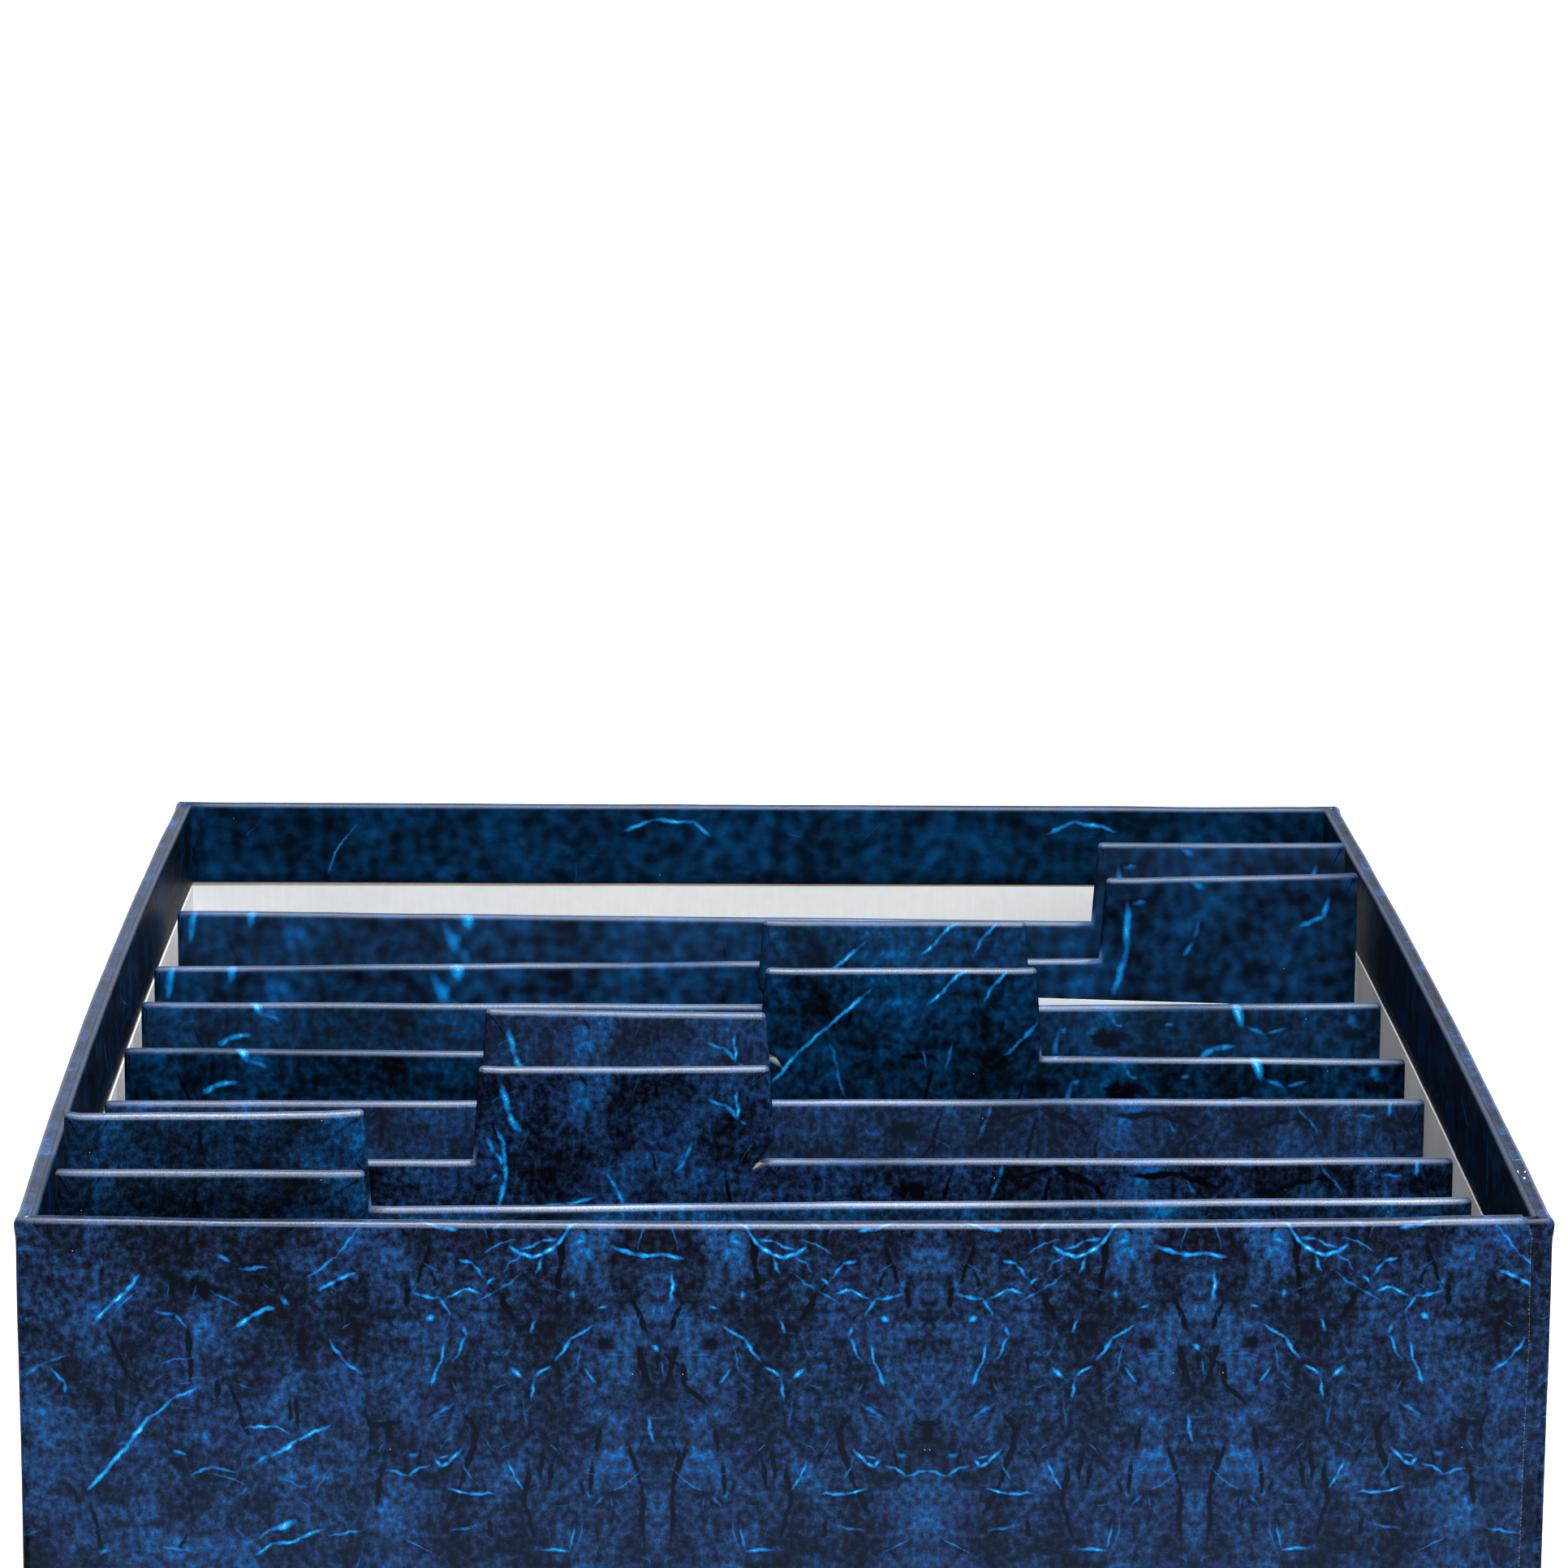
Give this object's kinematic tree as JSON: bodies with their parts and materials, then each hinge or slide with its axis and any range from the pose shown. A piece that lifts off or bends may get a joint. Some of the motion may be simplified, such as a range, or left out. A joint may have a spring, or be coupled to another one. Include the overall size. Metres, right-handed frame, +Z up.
{
  "type": "photo storage box with index dividers",
  "caption": "Open rigid storage box in paper over board, with tabbed index dividers that stand across it and lift out.",
  "frame": {"origin": "centre of the underside, on the surface the box stands on", "axes": "+X to the right across the width, +Y from the front wall to the back wall, +Z up"},
  "size_m": [0.1766, 0.2242, 0.1244],
  "materials": {
    "greyboard": "matt pressed board",
    "printed_paper": "satin, embossed, printed with a dark blue fibre-paper pattern",
    "white_paper": "matt white with a fine laid texture",
    "stay_paper": "matt gummed kraft paper"
  },
  "bodies": {
    "box": {"bottom_sheet": "printed_paper", "base_board": "greyboard", "front_board": "greyboard", "back_board": "greyboard", "left_board": "greyboard", "right_board": "greyboard", "corner_stay_front_right": "stay_paper", "corner_stay_back_right": "stay_paper", "corner_stay_back_left": "stay_paper", "corner_stay_front_left": "stay_paper", "cover_wrap": "printed_paper", "wall_lining": "white_paper", "floor_lining": "white_paper"},
    "divider_1": {"divider_1_board": "greyboard", "divider_1_cover": "printed_paper", "divider_1_liner": "white_paper"},
    "divider_2": {"divider_2_board": "greyboard", "divider_2_cover": "printed_paper", "divider_2_liner": "white_paper"},
    "divider_3": {"divider_3_board": "greyboard", "divider_3_cover": "printed_paper", "divider_3_liner": "white_paper"},
    "divider_4": {"divider_4_board": "greyboard", "divider_4_cover": "printed_paper", "divider_4_liner": "white_paper"},
    "divider_5": {"divider_5_board": "greyboard", "divider_5_cover": "printed_paper", "divider_5_liner": "white_paper"},
    "divider_6": {"divider_6_board": "greyboard", "divider_6_cover": "printed_paper", "divider_6_liner": "white_paper"},
    "divider_7": {"divider_7_board": "greyboard", "divider_7_cover": "printed_paper", "divider_7_liner": "white_paper"},
    "divider_8": {"divider_8_board": "greyboard", "divider_8_cover": "printed_paper", "divider_8_liner": "white_paper"}
  },
  "joints": [
    {"name": "divider_1_lift", "type": "slide", "parent": "box", "child": "divider_1", "axis": [0, 0, 1], "range_m": [0, 0.125]},
    {"name": "divider_2_lift", "type": "slide", "parent": "box", "child": "divider_2", "axis": [0, 0, 1], "range_m": [0, 0.125]},
    {"name": "divider_3_lift", "type": "slide", "parent": "box", "child": "divider_3", "axis": [0, 0, 1], "range_m": [0, 0.125]},
    {"name": "divider_4_lift", "type": "slide", "parent": "box", "child": "divider_4", "axis": [0, 0, 1], "range_m": [0, 0.125]},
    {"name": "divider_5_lift", "type": "slide", "parent": "box", "child": "divider_5", "axis": [0, 0, 1], "range_m": [0, 0.125]},
    {"name": "divider_6_lift", "type": "slide", "parent": "box", "child": "divider_6", "axis": [0, 0, 1], "range_m": [0, 0.125]},
    {"name": "divider_7_lift", "type": "slide", "parent": "box", "child": "divider_7", "axis": [0, 0, 1], "range_m": [0, 0.125]},
    {"name": "divider_8_lift", "type": "slide", "parent": "box", "child": "divider_8", "axis": [0, 0, 1], "range_m": [0, 0.125]}
  ]
}
